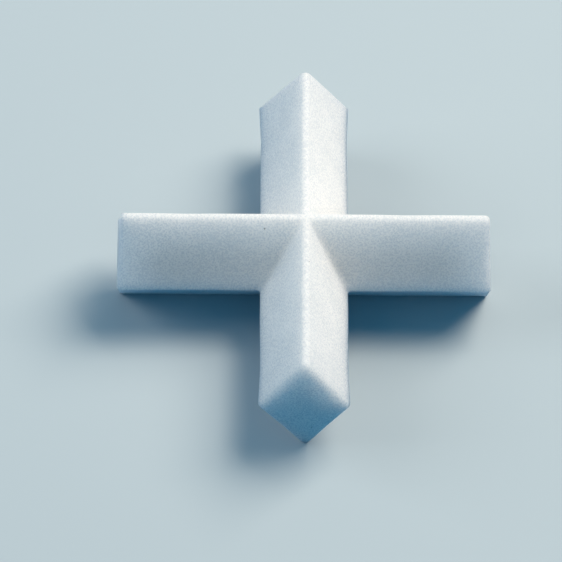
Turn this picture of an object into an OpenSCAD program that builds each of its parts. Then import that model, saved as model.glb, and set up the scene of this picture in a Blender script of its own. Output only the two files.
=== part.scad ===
// Magnetic stir bar, cross pattern: a moulded jacket with a rod magnet sealed inside it.
// Two equal arms of diamond section cross at right angles, so the bar works either way up.
// Origin: under the middle of the cross, on the plane that its lower ridges rest on. +Z is up.

/* [Cross] */
// Length of each arm over its side edges
span = 40; // [30:0.5:60]
// Height from the lower ridge to the upper ridge
height = 14; // [12:0.5:20]
// Width of an arm from side edge to side edge
arm_width = 9.4; // [8.5:0.1:14]

/* [Edges] */
// Radius of the long upper and lower ridges
ridge_radius = 0.45; // [0.2:0.05:0.8]
// Radius of the long side edges, along the parting line
side_radius = 0.18; // [0.1:0.02:0.4]
// Radius that a ridge turns down with at its end
ridge_end_radius = 0.7; // [0.3:0.05:1.5]
// Radius that a side edge turns in with at its end
side_end_radius = 0.45; // [0.2:0.05:1]
// How far a ridge ends short of the side edges, which is the draft of the mould
end_draft = 0.25; // [0:0.05:0.6]
// Radius of the fillet in each valley between the arms
valley_radius = 0.6; // [0.3:0.05:1.2]

/* [Magnet] */
// Diameter of the rod magnet
magnet_d = 5; // [3:0.25:6]
// Chamfer round the ends of the magnet
magnet_chamfer = 0.4; // [0.1:0.1:0.8]
// Thickness of the jacket beyond each end of the magnet
end_wall = 4; // [2:0.5:10]
// Gap left between the magnet and the jacket moulded round it
magnet_gap = 0.02; // [0.01:0.01:0.1]

/* [Hidden] */
blend_fn = 32;
magnet_fn = 96;
// How far the edges of a fillet are sunk in the faces beside it, so that all is one solid
sink = 0.02;
half_span = span / 2;
half_height = height / 2;
half_width = arm_width / 2;
magnet_l = span - 2 * end_wall;

// The section of an arm is the outline round four circles: one in each ridge, one in each side edge.
ridge_circle_z = half_height - ridge_radius;
side_circle_y = half_width - side_radius;
// Slope of the four flat faces, which touch a ridge circle and a side circle
face_slope = acos((side_radius - ridge_radius) / norm([ridge_circle_z, side_circle_y]))
    - atan2(side_circle_y, ridge_circle_z);
// Height of the sharp ridge that the faces would meet in without the rounding
sharp_height = ridge_circle_z + ridge_radius / cos(face_slope);
// Height that the ridges' rounding starts at
ridge_foot_z = ridge_circle_z + ridge_radius * cos(face_slope);
// Slope of the valleys, and half the angle between the two faces that meet in one
valley_slope = atan(tan(face_slope) / sqrt(2));
valley_half_angle = 90 - acos(pow(cos(face_slope), 2)) / 2;

// A ring whose outer edge has radius tip_r and whose wall is a circle of radius edge_r.
// Its axis is Z. It shapes the place where an edge of radius edge_r turns a corner.
module corner_ring(edge_r, tip_r) {
    rotate_extrude($fn = blend_fn)
        intersection() {
            translate([tip_r - edge_r, 0])
                circle(r = edge_r, $fn = blend_fn);
            translate([0, -edge_r])
                square([tip_r, 2 * edge_r]);
        }
}

// The end of an arm at +X: two ridge corners, which stand back by the draft, and two side corners.
module arm_end() {
    for (side = [-1, 1]) {
        translate([half_span - end_draft - ridge_end_radius, 0, side * (half_height - ridge_end_radius)])
            rotate([90, 0, 0])
                corner_ring(ridge_radius, ridge_end_radius);
        translate([half_span - side_end_radius, side * (half_width - side_end_radius), 0])
            corner_ring(side_radius, side_end_radius);
    }
}

// One arm along X, drawn tight round the corners of both its ends
module arm() {
    hull() {
        arm_end();
        mirror([1, 0, 0])
            arm_end();
    }
}

// What fills the valley at +X +Y, from mid-height up to the foot of the ridges' rounding.
// It is a bar laid down the valley, with the round of the fillet cut out of its open side.
module valley_fillet() {
    centre_h = valley_radius / sin(valley_half_angle) - sink;
    tangent = valley_radius / tan(valley_half_angle);
    side_w = tangent * sin(valley_half_angle) + sink;
    side_h = tangent * cos(valley_half_angle) - sink;
    intersection() {
        translate([0, 0, sharp_height])
            rotate([0, 90 + valley_slope, 45])
                linear_extrude(height = 2 * sharp_height)
                    difference() {
                        polygon([[valley_radius, 0], [-side_h, side_w], [-side_h, -side_w]]);
                        translate([-centre_h, 0])
                            circle(r = valley_radius, $fn = blend_fn);
                    }
        cube([half_width + valley_radius, half_width + valley_radius, ridge_foot_z]);
    }
}

// A chamfered rod along X, grown all round by extra
module magnet_rod(extra = 0) {
    r = magnet_d / 2 + extra;
    half_l = magnet_l / 2 + extra;
    rotate([0, 90, 0])
        rotate_extrude($fn = magnet_fn)
            polygon([
                [0, -half_l], [r - magnet_chamfer, -half_l], [r, -half_l + magnet_chamfer],
                [r, half_l - magnet_chamfer], [r - magnet_chamfer, half_l], [0, half_l]
            ]);
}

// The moulded jacket: two crossed arms with softened valleys, and the closed pocket of the magnet
module ptfe_jacket() {
    color("white")
        translate([0, 0, half_height])
            difference() {
                union() {
                    arm();
                    rotate([0, 0, 90])
                        arm();
                    for (turn = [0:90:270], below = [0, 1])
                        rotate([0, 0, turn])
                            mirror([0, 0, below])
                                valley_fillet();
                }
                magnet_rod(magnet_gap);
            }
}

// The rod magnet lies along the arm on X, at mid-height
module rod_magnet() {
    color("dimgray")
        translate([0, 0, half_height])
            magnet_rod();
}

ptfe_jacket();
rod_magnet();
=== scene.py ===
import math
import bmesh
import bpy
import numpy as np
from mathutils import Matrix, Vector


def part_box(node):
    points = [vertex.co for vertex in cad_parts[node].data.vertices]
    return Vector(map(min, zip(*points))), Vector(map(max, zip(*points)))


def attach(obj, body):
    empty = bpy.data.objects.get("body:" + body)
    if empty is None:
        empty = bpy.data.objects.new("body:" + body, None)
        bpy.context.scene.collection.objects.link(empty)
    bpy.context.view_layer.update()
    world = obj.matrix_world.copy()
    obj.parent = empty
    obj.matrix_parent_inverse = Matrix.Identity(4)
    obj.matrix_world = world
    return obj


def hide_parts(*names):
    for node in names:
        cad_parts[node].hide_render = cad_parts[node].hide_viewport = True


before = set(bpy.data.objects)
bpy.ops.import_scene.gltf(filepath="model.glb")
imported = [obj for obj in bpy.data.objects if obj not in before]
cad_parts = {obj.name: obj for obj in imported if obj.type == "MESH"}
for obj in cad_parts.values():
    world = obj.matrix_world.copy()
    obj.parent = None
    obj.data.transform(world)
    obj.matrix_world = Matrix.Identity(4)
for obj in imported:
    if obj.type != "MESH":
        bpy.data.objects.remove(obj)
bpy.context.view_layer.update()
scene = bpy.context.scene
mm = 0.001


# a hex colour as it is seen on screen, turned into the linear numbers that shaders and lamps take
def linearColour(hexText):
    parts = [int(hexText[i:i + 2], 16) / 255 for i in (1, 3, 5)]
    return tuple(p / 12.92 if p <= 0.04045 else ((p + 0.055) / 1.055) ** 2.4 for p in parts) + (1.0,)


# one shader node: settings are its options, values go on its sockets, links are (socket, from node, output)
def addNode(tree, kind, links=(), values=(), **settings):
    node = tree.nodes.new(kind)
    for name, value in settings.items():
        setattr(node, name, value)
    for socket, value in dict(values).items():
        node.inputs[socket].default_value = value
    for socket, source, output in links:
        tree.links.new(source.outputs[output], node.inputs[socket])
    return node


# a material with no nodes yet, and its node tree
def newMaterial(name):
    material = bpy.data.materials.new(name)
    material.use_nodes = True
    material.node_tree.nodes.clear()
    return material, material.node_tree


# looks down at the cross from the end of one arm, from far off with a long lens
cameraSetup = {
    "elevation": 53.95,       # degrees above the bench
    "turn": 1.19,             # degrees round the upright axis, off the line of the arm on Y
    "roll": 1.39,             # degrees that the view is turned clockwise
    "aimHeight": 7.0,         # mm above the bench, half way up the cross
    "distance": 593.4,        # mm from there
    "lens": 354.6,            # mm
    "sensor": 36.0,           # mm wide
    "aside": (22.93, 25.98),  # pixels right and up from the middle of the frame to the cross's middle
    "frameWidth": 562,        # pixels
}


def makeCamera(d):
    e, t, r = (math.radians(d[k]) for k in ("elevation", "turn", "roll"))
    right = Vector((math.cos(t), -math.sin(t), 0))
    forward = Vector((math.sin(t) * math.cos(e), math.cos(t) * math.cos(e), -math.sin(e)))
    up = right.cross(forward)
    right, up = math.cos(r) * right + math.sin(r) * up, math.cos(r) * up - math.sin(r) * right
    # aimed a little aside, so that the cross sits off the middle of the frame
    x, y = d["aside"]
    perPixel = d["sensor"] / d["lens"] / d["frameWidth"]
    back = -(forward - x * perPixel * right - y * perPixel * up).normalized()
    side = (right - right.dot(back) * back).normalized()
    data = bpy.data.cameras.new("camera")
    data.lens, data.sensor_width = d["lens"], d["sensor"]
    data.clip_start, data.clip_end = 0.01, 100
    camera = bpy.data.objects.new("camera", data)
    place = Vector((0, 0, d["aimHeight"] * mm)) - d["distance"] * mm * forward
    turned = Matrix((side, back.cross(side), back)).transposed().to_4x4()
    camera.matrix_world = Matrix.Translation(place) @ turned
    scene.collection.objects.link(camera)
    scene.camera = camera


makeCamera(cameraSetup)
print("camera made")

# all in mm but the crowns. A row of four is for the ends at +X, +Y, -X, -Y
jacketShape = {
    "span": 40.0,             # over the side edges of an arm's two ends
    "height": 14.0,           # from ridge to ridge
    "armWidth": 9.4,          # over the side edges
    "ridgeRadius": 0.55,      # rounding along the ridges
    "sideRadius": 0.18,       # rounding along the side edges
    "upperDraft": (0.32, 0.32, 0.36, 0.1),    # how far an end leans back up to the upper ridge
    "lowerDraft": (0.24, 0.25, -0.18, 0.25),  # the same down to the lower ridge
    "upperSink": (0.08, -0.12, 0.1, 0.0),     # how hollow the upper slope is half way, below 0 if it bulges
    "lowerSink": (0.0, 0.0, 0.0, 0.03),       # the same for the lower slope
    "endFold": 0.6325,        # how softly the two slopes fold into each other at mid-height
    "upperEnd": (0.6, 0.6, 0.35, 0.9),        # rounding where the upper ridge turns down
    "lowerEnd": (0.25, 0.6, 0.25, 0.4),       # rounding where the lower ridge turns up
    "sideEnd": (0.5, 0.3, 0.4, 0.7),          # rounding where a side edge turns in
    "endCrown": (1.3, 1.2, 1.3, 1.6),         # the upper rounding's reach down, over its reach back
    "waist": 0.05,            # how far the side edges are drawn in half way along an arm
    "endFlare": 0.1,          # how far they spread at the ends, as the mould was filled hardest there
    "flareLength": 5.5,       # how much of an arm spreads
    "flash": 0.025,           # fine raised line that the mould's joint leaves along the side edges
    "valley": 0.5,            # how wide the two arms melt into each other in a valley
    "valleyAtRidge": 0.12,    # the same where the ridges cross
    "valleyRise": 1.4,        # how far below the ridges it is whole
    "ridgeDrift": (0.09, 0.22),   # how far the upper and lower ridges stand off the middle, towards +X
    "waviness": 0.02,         # how far the faces wander from flat
    "wearWidth": 0.55,        # how far from an edge the skin is rubbed smooth
    "pocketGap": 0.02,        # between the jacket and the magnet in it
    "pocketBevel": 0.4,       # bevel round the pocket's ends, as on the magnet
    "dents": (                # place, radius and depth of the marks of handling on the edges
        (17.3, 0.1, 7.0, 0.35, 0.07), (17.9, 0.0, 7.0, 0.25, 0.05), (-8.6, 0.0, 7.0, 0.4, 0.03),
        (0.1, -14.2, 7.0, 0.5, 0.03), (0.1, 11.3, -7.0, 0.4, 0.04), (-13.0, 0.2, -7.0, 0.5, 0.04),
        (4.7, -11.0, 0.0, 0.5, 0.04), (-4.7, 15.2, 0.0, 0.4, 0.05), (9.3, -4.7, 0.0, 0.5, 0.04),
        (-12.1, 4.7, 0.0, 0.5, 0.05),
    ),
}


# an even S from 0 at t = 0 to 1 at t = 1: t squared times 3 - 2 t, and level outside
def smooth(t):
    t = np.clip(t, 0, 1)
    return t * t * (3 - 2 * t)


# an arm's section is a diamond drawn tight round four circles, one in each ridge and side edge. This gives
# the height of a ridge circle, the place of a side circle, the way that a face looks, and its distance
def diamond(d):
    ridgeZ, sideY = d["height"] / 2 - d["ridgeRadius"], d["armWidth"] / 2 - d["sideRadius"]
    slope = math.acos((d["sideRadius"] - d["ridgeRadius"]) / math.hypot(ridgeZ, sideY))
    slope -= math.atan2(sideY, ridgeZ)
    faceY, faceZ = math.sin(slope), math.cos(slope)
    return ridgeZ, sideY, faceY, faceZ, ridgeZ * faceZ + d["ridgeRadius"]


# distance of points from the section's outline, below 0 inside, and its direction. It is the distance from
# a face's line between the points where the roundings touch it, and past them that from a circle
def diamondDistance(d, y, z):
    ridgeZ, sideY, faceY, faceZ, faceAt = diamond(d)
    ridgeR, sideR = d["ridgeRadius"], d["sideRadius"]
    ay, az = np.abs(y), np.abs(z)
    along = (ay - faceY * ridgeR) * faceZ - (az - ridgeZ - faceZ * ridgeR) * faceY
    length = math.hypot(faceY * (ridgeR - sideR) - sideY, faceZ * (ridgeR - sideR) + ridgeZ)
    fromRidge, fromSide = np.hypot(ay, az - ridgeZ) + 1e-9, np.hypot(ay - sideY, az) + 1e-9
    atRidge, atSide = along < 0, along > length
    distance = np.where(atRidge, fromRidge - ridgeR,
                        np.where(atSide, fromSide - sideR, ay * faceY + az * faceZ - faceAt))
    slopeY = np.where(atRidge, ay / fromRidge, np.where(atSide, (ay - sideY) / fromSide, faceY))
    slopeZ = np.where(atRidge, (az - ridgeZ) / fromRidge, np.where(atSide, az / fromSide, faceZ))
    return distance, slopeY * np.where(y < 0, -1, 1), slopeZ * np.where(z < 0, -1, 1)


# the section's outline as a closed row of points: a quarter runs up a side arc, the flat face and a ridge
# arc, and is mirrored into the other three. Points crowd where an arc meets the face
def sectionLoop(d):
    ridgeZ, sideY, faceY, faceZ, faceAt = diamond(d)
    ridgeR, sideR = d["ridgeRadius"], d["sideRadius"]
    touch = math.atan2(faceZ, faceY)
    low, high = np.linspace(0, touch, 5), np.linspace(touch, math.pi / 2, 8)
    side = np.stack([sideY + sideR * np.cos(low), sideR * np.sin(low)], 1)
    ridge = np.stack([ridgeR * np.cos(high), ridgeZ + ridgeR * np.sin(high)], 1)
    t = np.linspace(0, 1, 23)[1:-1, None]
    t = 0.5 - 0.5 * np.cos(np.pi * t) * (1 - 0.25 * np.sin(np.pi * t) ** 2)
    quarter = np.concatenate([side, side[-1] * (1 - t) + ridge[0] * t, ridge])
    upper = np.concatenate([quarter, quarter[-2::-1] * (-1, 1)])
    return np.concatenate([upper, upper[-2:0:-1] * (1, -1)])


# how far back an end face stands at a height: its draft, which grows evenly away from mid-height, plus half
# a sine wave for the hollow or the bulge. The fold at mid-height is a hyperbola
def endLean(d, end, z):
    height, fold = d["height"] / 2, d["endFold"]
    level = (np.hypot(z, fold) - fold) / (math.hypot(height, fold) - fold)
    draft = np.where(z > 0, d["upperDraft"][end], d["lowerDraft"][end])
    sink = np.where(z > 0, d["upperSink"][end], d["lowerSink"][end])
    return draft * level + sink * np.sin(np.pi * level)


# rounds the valleys out. The two arms' distances a and b are blended, min(a, b) - k/4 (1 - |a - b| / k)^2,
# and points are moved down the slope of that until it is 0
def meltValleys(d, points):
    depth = (d["height"] / 2 - np.abs(points[..., 2])) / d["valleyRise"]
    k = d["valleyAtRidge"] + (d["valley"] - d["valleyAtRidge"]) * smooth(depth)
    for step in range(5):
        a, ay, az = diamondDistance(d, points[..., 1], points[..., 2])
        b, bx, bz = diamondDistance(d, points[..., 0], points[..., 2])
        h = np.clip(1 - np.abs(a - b) / k, 0, 1)
        value = np.minimum(a, b) - k * h * h / 4
        part = np.where(a < b, h / 2, 1 - h / 2)
        slope = np.stack([part * bx, (1 - part) * ay, (1 - part) * az + part * bz], 2)
        points = points - (value / (slope ** 2).sum(2))[..., None] * slope
    return points


# one arm from the middle of the cross out along +X, as rows of section loops. They start on the diagonal
# plane x = |y|, run straight to the end, turn in over the end's edge on a quarter ellipse, and close over
# the leaning end face. The second result is how near each point is to a worn edge, from 0 to 1
def armGrid(d, end):
    loop = sectionLoop(d)
    y, z = loop[:, 0], loop[:, 1]
    half, height, halfWidth = d["span"] / 2 - d["flash"], d["height"] / 2, d["armWidth"] / 2
    corner = np.where(z > 0, d["upperEnd"][end], d["lowerEnd"][end])
    turn = d["sideEnd"][end] + (corner - d["sideEnd"][end]) * (np.abs(z) / height) ** 0.6
    crown = 1 + (d["endCrown"][end] - 1) * smooth(z / 3)      # whole from 3 mm above mid-height
    pull = turn * crown / np.hypot(y, z)

    first, last = np.abs(y), half - endLean(d, end, z) - turn
    # rows lie close past the diagonal, where the valley is, and crowd a little towards the end
    near = np.array([0, 0.04, 0.09, 0.15, 0.22, 0.3, 0.4, 0.52, 0.7, 0.95, 1.3])[:, None]
    far = np.linspace(0, 1, 84)[1:, None]
    far = far + 0.06 * np.sin(np.pi * far) * far
    x = np.concatenate([first + near, first + near[-1] + (last - first - near[-1]) * far])
    straight = np.stack([x, np.broadcast_to(y, x.shape), np.broadcast_to(z, x.shape)], 2)
    straight = meltValleys(d, straight)

    angle = np.linspace(0, np.pi / 2, 11)[1:, None]
    scale = 1 - pull * (1 - np.cos(angle))
    back = turn * (1 - np.sin(angle)) + endLean(d, end, z * scale)
    rounding = np.stack([half - back, y * scale, z * scale], 2)
    t = np.array([0.985, 0.955, 0.9, 0.82, 0.7, 0.56, 0.42, 0.28, 0.14])[:, None] * (1 - pull)
    cap = np.stack([half - endLean(d, end, z * t), y * t, z * t], 2)
    grid = np.concatenate([straight, rounding, cap])

    # the mould's line rises from 0.5 to 1.5 mm past the diagonal, and runs on over the end
    rowAngle = np.concatenate([np.zeros(len(x)), angle[:, 0], np.full(len(t), np.pi / 2)])[:, None]
    raised = d["flash"] * (np.abs(z) < 1e-6) * smooth(grid[..., 0] - first - 0.5)
    grid[..., 0] += raised * np.sin(rowAngle)
    grid[..., 1] += raised * np.cos(rowAngle) * np.sign(y)
    reach = (grid[..., 0] - d["span"] / 2) / d["flareLength"] + 1
    along = np.clip((grid[..., 0] - halfWidth) / (half - halfWidth), 0, 1)
    spread = d["endFlare"] * smooth(reach) - d["waist"] * np.sin(np.pi * along) ** 2
    grid[..., 1] *= 1 + spread / halfWidth * (1 - np.abs(grid[..., 2]) / height)

    fromEdge = np.minimum(np.hypot(y, np.abs(z) - height), np.hypot(np.abs(y) - halfWidth, z))
    fromEnd = np.concatenate([last - x, np.zeros((len(angle), len(y))), (1 - pull - t) * np.hypot(y, z)])
    byEdge, byEnd = (np.exp(-(f / d["wearWidth"]) ** 2) for f in (fromEdge, fromEnd))
    return grid, 1 - (1 - byEdge) * (1 - byEnd)


# a slow wave in each direction, products of sines of place with wavelengths of 8 to 17 mm
def wander(p, amount):
    x, y, z = p.T
    return amount * np.stack([
        np.sin(0.61 * y + 0.43 * z + 1.3) * np.sin(0.37 * x + 0.4),
        np.sin(0.53 * x - 0.47 * z + 2.1) * np.sin(0.41 * y + 1.7),
        np.sin(0.71 * x + 0.31 * y + 0.6) * np.sin(0.57 * y - 0.39 * x + 2.6)], 1)


# quads of a grid whose columns close on themselves
def gridFaces(rows, columns, base):
    i, j = np.meshgrid(np.arange(rows - 1), np.arange(columns), indexing="ij")
    k = (j + 1) % columns
    low, high = i * columns, (i + 1) * columns
    return (base + np.stack([low + j, low + k, high + k, high + j], 2)).reshape(-1, 4)


# a fan of triangles from a closed ring of points to one point
def fanFaces(ring, tip):
    return np.stack([ring, np.roll(ring, -1), np.full_like(ring, tip)], 1)


# the closed pocket that the rod magnet lies in: a bevelled profile turned round the arm's axis, with its
# faces turned in, away from the plastic
def pocketMesh(d, base):
    low, high = (np.array(c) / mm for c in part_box("rod_magnet"))
    r, half = ((high - low) / 2 + d["pocketGap"])[[2, 0]]
    bevel, sides = d["pocketBevel"], 96
    profile = np.array([
        [-half, r - bevel], [-half + bevel, r], [0, r], [half - bevel, r], [half, r - bevel]])
    a = np.linspace(0, 2 * np.pi, sides, endpoint=False)
    x = np.repeat(profile[:, :1], sides, 1)
    points = np.stack([x, profile[:, 1:] * np.cos(a), profile[:, 1:] * np.sin(a)], 2).reshape(-1, 3)
    ring, count = np.arange(sides), len(points)
    ends = np.concatenate([fanFaces(ring, count), fanFaces(ring + count - sides, count + 1)[:, ::-1]])
    points = np.concatenate([points, [[-half, 0, 0], [half, 0, 0]]])
    return points, gridFaces(len(profile), sides, base)[:, ::-1], ends + base


# four arms turned a quarter each, then the slow waves, the ridges' drift, the dents and the magnet's pocket
def makeJacket(d):
    points, wear, quads, triangles, base = [], [], [], [], 0
    for end in range(4):
        grid, worn = armGrid(d, end)
        rows, columns = grid.shape[:2]
        x, y, z = np.concatenate([grid.reshape(-1, 3), [[d["span"] / 2, 0, 0]]]).T
        c, s = ((1, 0), (0, 1), (-1, 0), (0, -1))[end]
        points.append(np.stack([c * x - s * y, s * x + c * y, z], 1))
        wear.append(np.append(worn, 0))
        quads.append(gridFaces(rows, columns, base))
        tip = base + rows * columns
        triangles.append(fanFaces(np.arange(tip - columns, tip), tip))
        base = tip + 1
    skin = np.concatenate(points)
    skin += wander(skin, d["waviness"])
    upper, lower = d["ridgeDrift"]
    skin[:, 0] += np.where(skin[:, 2] > 0, upper, lower) * np.abs(skin[:, 2]) / (d["height"] / 2)
    for x, y, z, radius, depth in d["dents"]:
        near = np.exp(-((skin - (x, y, z)) ** 2).sum(1) / radius ** 2)[:, None]
        alongArm = np.arange(3) == (0 if abs(x) > abs(y) else 1)
        inward = skin * alongArm - skin
        skin += depth * near * inward / (np.linalg.norm(inward, axis=1)[:, None] + 1e-9)
    room = np.array([d["span"], d["span"], d["height"]]) / 2
    skin *= room / np.maximum(np.abs(skin).max(0), room)      # what the waves push past the size goes back
    pocket, pocketQuads, pocketTriangles = pocketMesh(d, base)
    points = np.concatenate([skin, pocket])
    points[:, 2] += d["height"] / 2

    mesh = bpy.data.meshes.new("jacket_skin")
    faces = [q.tolist() for q in quads + triangles + [pocketQuads, pocketTriangles]]
    mesh.from_pydata((points * mm).tolist(), [], sum(faces, []))
    worn = mesh.attributes.new("wear", "FLOAT", "POINT")
    worn.data.foreach_set("value", np.concatenate(wear + [np.zeros(len(pocket))]))
    return mesh


jacketMesh = makeJacket(jacketShape)
print("jacket grid", len(jacketMesh.vertices), "points")


# merges the seams and shades the faces smooth. They point out of the plastic already, and recalculating
# them would turn the pocket's round
def finishMesh(mesh):
    b = bmesh.new()
    b.from_mesh(mesh)
    bmesh.ops.remove_doubles(b, verts=b.verts, dist=0.002 * mm)
    bmesh.ops.dissolve_degenerate(b, edges=b.edges, dist=0.0005 * mm)
    b.to_mesh(mesh)
    b.free()
    mesh.shade_smooth()


finishMesh(jacketMesh)
jacketSkin = bpy.data.objects.new("jacket_skin", jacketMesh)
scene.collection.objects.link(jacketSkin)
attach(jacketSkin, "root")
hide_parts("ptfe_jacket")
print("jacket made", len(jacketMesh.polygons), "faces")

ptfeFinish = {
    "colour": "#fcfbf9",
    "shade": "#e0e3e6",       # where the powder fused a little less
    "blotch": 0.7,            # width of the step from the shade to the colour: less is crisper
    "cloudSize": 3.0,         # mm, of the cloudy patches
    "grainSize": 0.18,        # mm: real grain is 0.02 to 0.05 mm, drawn this coarse so that it shows
    "grainDepth": 0.02,       # mm
    "grainShow": 4.0,         # how strongly it tints the surface, beside the cloudy patches
    "peelSize": 1.6,          # mm, of the slow unevenness that the mould leaves
    "peelDepth": 0.012,       # mm
    "scatter": 5.0,           # mm that light travels inside
    "ior": 1.35,
    "roughness": 0.8,
    "wornRoughness": 0.7,     # where edges were rubbed
    "grainRoughness": 0.12,   # added at the top of a grain
    "speckSpacing": 3.0,      # mm between places where a speck may lie
    "speckShare": 0.6,        # of those places that have one
    "speckSize": 0.09,        # mm, half a speck's width
    "speckColour": "#8b8884",
}


# PTFE powder pressed in a mould and sintered: white and waxy. It lets light in for a few millimetres, so
# shaded faces glow near a lit edge. The grain gives a fine matt mottle, and rubbed edges shine a little more
def mouldedPtfe(d):
    material, tree = newMaterial("mouldedPtfe")
    place = addNode(tree, "ShaderNodeTexCoord")
    grain = addNode(tree, "ShaderNodeTexNoise", [("Vector", place, "Object")],
                    {"Scale": 1 / (d["grainSize"] * mm), "Detail": 2.0, "Roughness": 0.6})
    peel = addNode(tree, "ShaderNodeTexNoise", [("Vector", place, "Object")],
                   {"Scale": 1 / (d["peelSize"] * mm), "Detail": 1.0})
    cloud = addNode(tree, "ShaderNodeTexNoise", [("Vector", place, "Object")],
                    {"Scale": 1 / (d["cloudSize"] * mm), "Detail": 3.0, "Roughness": 0.55})
    mottle = addNode(tree, "ShaderNodeMath", [(0, grain, "Fac"), (2, cloud, "Fac")], {1: d["grainShow"]},
                     operation="MULTIPLY_ADD")
    middle = (1 + d["grainShow"]) / 2
    patch = addNode(tree, "ShaderNodeMapRange", [("Value", mottle, "Value")],
                    {"From Min": middle - d["blotch"] / 2, "From Max": middle + d["blotch"] / 2})
    white = addNode(tree, "ShaderNodeMix", [("Factor", patch, "Result")],
                    {"A": linearColour(d["shade"]), "B": linearColour(d["colour"])}, data_type="RGBA")

    # a few dark specks: dust that was pressed in
    cells = addNode(tree, "ShaderNodeTexVoronoi", [("Vector", place, "Object")],
                    {"Scale": 1 / (d["speckSpacing"] * mm), "Randomness": 1.0})
    inside = addNode(tree, "ShaderNodeMath", [(0, cells, "Distance")],
                     {1: d["speckSize"] / d["speckSpacing"]}, operation="LESS_THAN")
    chosen = addNode(tree, "ShaderNodeSeparateColor", [("Color", cells, "Color")])
    few = addNode(tree, "ShaderNodeMath", [(0, chosen, "Red")], {1: d["speckShare"]}, operation="LESS_THAN")
    speck = addNode(tree, "ShaderNodeMath", [(0, inside, "Value"), (1, few, "Value")], operation="MULTIPLY")
    colour = addNode(tree, "ShaderNodeMix", [("Factor", speck, "Value"), ("A", white, "Result")],
                     {"B": linearColour(d["speckColour"])}, data_type="RGBA")

    worn = addNode(tree, "ShaderNodeAttribute", attribute_name="wear")
    gloss = addNode(tree, "ShaderNodeMapRange", [("Value", worn, "Fac")],
                    {"To Min": d["roughness"], "To Max": d["wornRoughness"]})
    dull = addNode(tree, "ShaderNodeMath", [(0, grain, "Fac"), (2, gloss, "Result")],
                   {1: d["grainRoughness"]}, operation="MULTIPLY_ADD")
    wave = addNode(tree, "ShaderNodeBump", [("Height", peel, "Fac")],
                   {"Strength": 1.0, "Distance": d["peelDepth"] * mm})
    bump = addNode(tree, "ShaderNodeBump", [("Height", grain, "Fac"), ("Normal", wave, "Normal")],
                   {"Strength": 1.0, "Distance": d["grainDepth"] * mm})
    shader = addNode(tree, "ShaderNodeBsdfPrincipled",
                     [("Base Color", colour, "Result"), ("Roughness", dull, "Value"),
                      ("Normal", bump, "Normal")],
                     {"IOR": d["ior"], "Subsurface Weight": 1.0, "Subsurface Radius": (1.0, 1.0, 1.0),
                      "Subsurface Scale": d["scatter"] * mm})
    addNode(tree, "ShaderNodeOutputMaterial", [("Surface", shader, "BSDF")])
    return material


alnicoFinish = {
    "colour": "#8f9094",
    "dark": "#5e5f63",        # in the pores and the lines
    "lineWidth": 0.09,        # mm between grinding lines: real ones are 0.01 mm, drawn coarser to show
    "lineLength": 4.0,        # mm that a line runs round the rod
    "lineDepth": 0.006,       # mm
    "poreSpacing": 0.9,       # mm between the pores of the casting
    "poreSize": 0.14,         # mm, half a pore's width
    "roughness": 0.35,
    "darkRoughness": 0.6,
}


# aluminium-nickel-cobalt magnet alloy, cast and ground round: a dull grey metal with pores and fine lines
# that run round it
def groundAlnico(d):
    material, tree = newMaterial("groundAlnico")
    place = addNode(tree, "ShaderNodeTexCoord")
    across, along = 1 / (d["lineWidth"] * mm), 1 / (d["lineLength"] * mm)
    stretched = addNode(tree, "ShaderNodeMapping", [("Vector", place, "Object")],
                        {"Scale": (across, along, along)})
    lines = addNode(tree, "ShaderNodeTexNoise", [("Vector", stretched, "Vector")],
                    {"Scale": 1.0, "Detail": 3.0, "Roughness": 0.65})
    cells = addNode(tree, "ShaderNodeTexVoronoi", [("Vector", place, "Object")],
                    {"Scale": 1 / (d["poreSpacing"] * mm), "Randomness": 1.0})
    pore = addNode(tree, "ShaderNodeMapRange", [("Value", cells, "Distance")],
                   {"From Max": d["poreSize"] / d["poreSpacing"]})
    height = addNode(tree, "ShaderNodeMath", [(0, lines, "Fac"), (1, pore, "Result")], operation="MULTIPLY")
    colour = addNode(tree, "ShaderNodeMix", [("Factor", height, "Value")],
                     {"A": linearColour(d["dark"]), "B": linearColour(d["colour"])}, data_type="RGBA")
    dull = addNode(tree, "ShaderNodeMapRange", [("Value", height, "Value")],
                   {"To Min": d["darkRoughness"], "To Max": d["roughness"]})
    bump = addNode(tree, "ShaderNodeBump", [("Height", height, "Value")],
                   {"Strength": 1.0, "Distance": d["lineDepth"] * mm})
    shader = addNode(tree, "ShaderNodeBsdfPrincipled",
                     [("Base Color", colour, "Result"), ("Roughness", dull, "Result"),
                      ("Normal", bump, "Normal")],
                     {"Metallic": 1.0})
    addNode(tree, "ShaderNodeOutputMaterial", [("Surface", shader, "BSDF")])
    return material


jacketSkin.data.materials.append(mouldedPtfe(ptfeFinish))
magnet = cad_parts["rod_magnet"]
magnetMaterial = groundAlnico(alnicoFinish)
if magnet.material_slots:
    for slot in magnet.material_slots:
        slot.material = magnetMaterial
else:
    magnet.data.materials.append(magnetMaterial)
print("materials made")

stageSetup = {
    "cardWidth": 12.0,            # metres
    "floorColour": "#bac8d0",     # the card, as the camera and the reflections see it
    "backdropColour": "#bccdd2",  # what the card fades into far off, and what stands behind it
    "fade": (0.2, 0.6),           # metres from the middle over which it does
    "floorBounce": "#306f95",     # what the object gets back from the floor
    "roomColour": "#6ccdfa",      # the dim room round the bench
    "roomLight": 0.3,
    "lamps": {                    # colour, W, degrees from +X towards +Y, degrees up, mm away, mm wide
        "key": ("#ffefdc", 5.7, 35, 56, 700, 420),
        "fill": ("#fffaf4", 1.55, 170, 36, 700, 420),
    },
}


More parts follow.
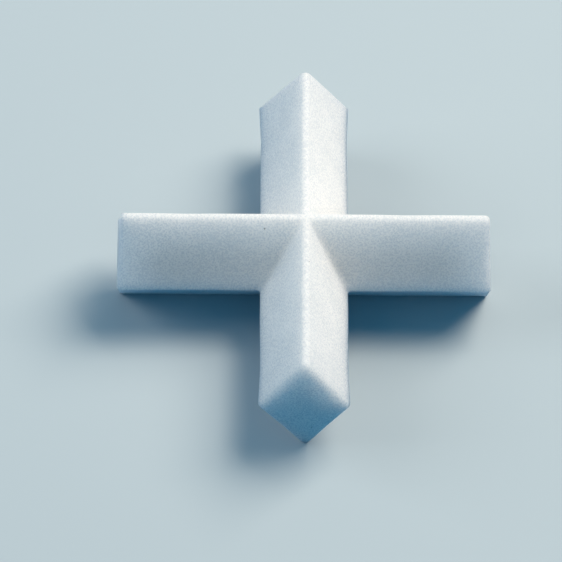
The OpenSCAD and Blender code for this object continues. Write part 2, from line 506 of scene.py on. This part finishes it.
# a large soft lamp, facing the middle of the bench
def makeLamp(name, colour, power, turn, height, distance, size):
    t, e = math.radians(turn), math.radians(height)
    towards = Vector((math.cos(e) * math.cos(t), math.cos(e) * math.sin(t), math.sin(e)))
    data = bpy.data.lights.new(name, "AREA")
    data.shape, data.size, data.energy = "SQUARE", size * mm, power
    data.color = linearColour(colour)[:3]
    lamp = bpy.data.objects.new(name, data)
    lamp.location = towards * distance * mm
    lamp.rotation_euler = towards.to_track_quat("Z", "Y").to_euler()
    scene.collection.objects.link(lamp)


# 1 for rays from the camera and for those that reflections and see-through things send on
def seenRays(tree):
    path = addNode(tree, "ShaderNodeLightPath")
    seen = addNode(tree, "ShaderNodeMath", [(0, path, "Is Camera Ray"), (1, path, "Is Glossy Ray")],
                   operation="MAXIMUM")
    return addNode(tree, "ShaderNodeMath", [(0, seen, "Value"), (1, path, "Is Transmission Ray")],
                   operation="MAXIMUM")


# a wide pale card in a pale room. The light that both give back to the object is deeper than they are
# seen, and far off the card fades into the backdrop, so that no horizon shows
def makeStage(d):
    r = d["cardWidth"] / 2
    mesh = bpy.data.meshes.new("floor")
    mesh.from_pydata([(-r, -r, 0), (r, -r, 0), (r, r, 0), (-r, r, 0)], [], [(0, 1, 2, 3)])
    floor = bpy.data.objects.new("floor", mesh)
    scene.collection.objects.link(floor)
    material, tree = newMaterial("floorCard")
    place = addNode(tree, "ShaderNodeTexCoord")
    reach = addNode(tree, "ShaderNodeVectorMath", [(0, place, "Object")], operation="LENGTH")
    far = addNode(tree, "ShaderNodeMapRange", [("Value", reach, "Value")],
                  {"From Min": d["fade"][0], "From Max": d["fade"][1]}, interpolation_type="SMOOTHSTEP")
    pale = addNode(tree, "ShaderNodeBsdfDiffuse", [], {"Color": linearColour(d["floorColour"])})
    back = addNode(tree, "ShaderNodeEmission", [], {"Color": linearColour(d["backdropColour"])})
    card = addNode(tree, "ShaderNodeMixShader",
                   [(0, far, "Result"), (1, pale, "BSDF"), (2, back, "Emission")])
    deep = addNode(tree, "ShaderNodeBsdfDiffuse", [], {"Color": linearColour(d["floorBounce"])})
    mix = addNode(tree, "ShaderNodeMixShader",
                  [(0, seenRays(tree), "Value"), (1, deep, "BSDF"), (2, card, "Shader")])
    addNode(tree, "ShaderNodeOutputMaterial", [("Surface", mix, "Shader")])
    floor.data.materials.append(material)

    world = bpy.data.worlds.new("studio")
    scene.world = world
    world.use_nodes = True
    tree = world.node_tree
    tree.nodes.clear()
    room = addNode(tree, "ShaderNodeBackground", [],
                   {"Color": linearColour(d["roomColour"]), "Strength": d["roomLight"]})
    back = addNode(tree, "ShaderNodeBackground", [], {"Color": linearColour(d["backdropColour"])})
    mix = addNode(tree, "ShaderNodeMixShader",
                  [(0, seenRays(tree), "Value"), (1, room, "Background"), (2, back, "Background")])
    addNode(tree, "ShaderNodeOutputWorld", [("Surface", mix, "Shader")])

    for name, settings in d["lamps"].items():
        makeLamp(name, *settings)


makeStage(stageSetup)
scene.view_settings.view_transform = "Standard"
print("stage made")

bpy.context.view_layer.update()
